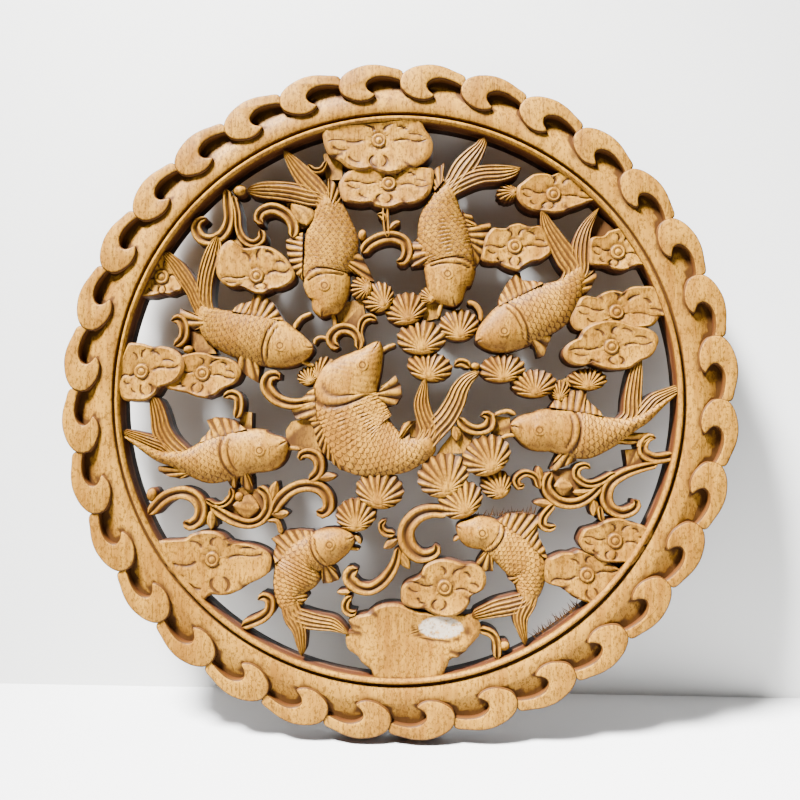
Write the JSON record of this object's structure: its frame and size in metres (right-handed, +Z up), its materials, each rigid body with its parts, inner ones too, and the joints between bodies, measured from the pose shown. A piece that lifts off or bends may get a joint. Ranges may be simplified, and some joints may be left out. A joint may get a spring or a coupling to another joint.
{
  "type": "carved wood wall panel",
  "caption": "Round openwork wood relief panel: carp among lotus leaves, fans and curling weed, inside a beaded border of curling wave crests.",
  "frame": {"origin": "hanging point: on the flat back, at 12 o'clock of the border, 22 mm in from the rim", "axes": "+Z up the wall when hung, -Y out of the carved front, +X to the viewer's right, back in the plane y = 0"},
  "size_m": [0.4976, 0.024, 0.4976],
  "materials": {
    "wood": "oiled pale wood, semi-matt, dark in the cuts"
  },
  "bodies": {
    "root": {"carved_panel": "wood"}
  },
  "joints": []
}
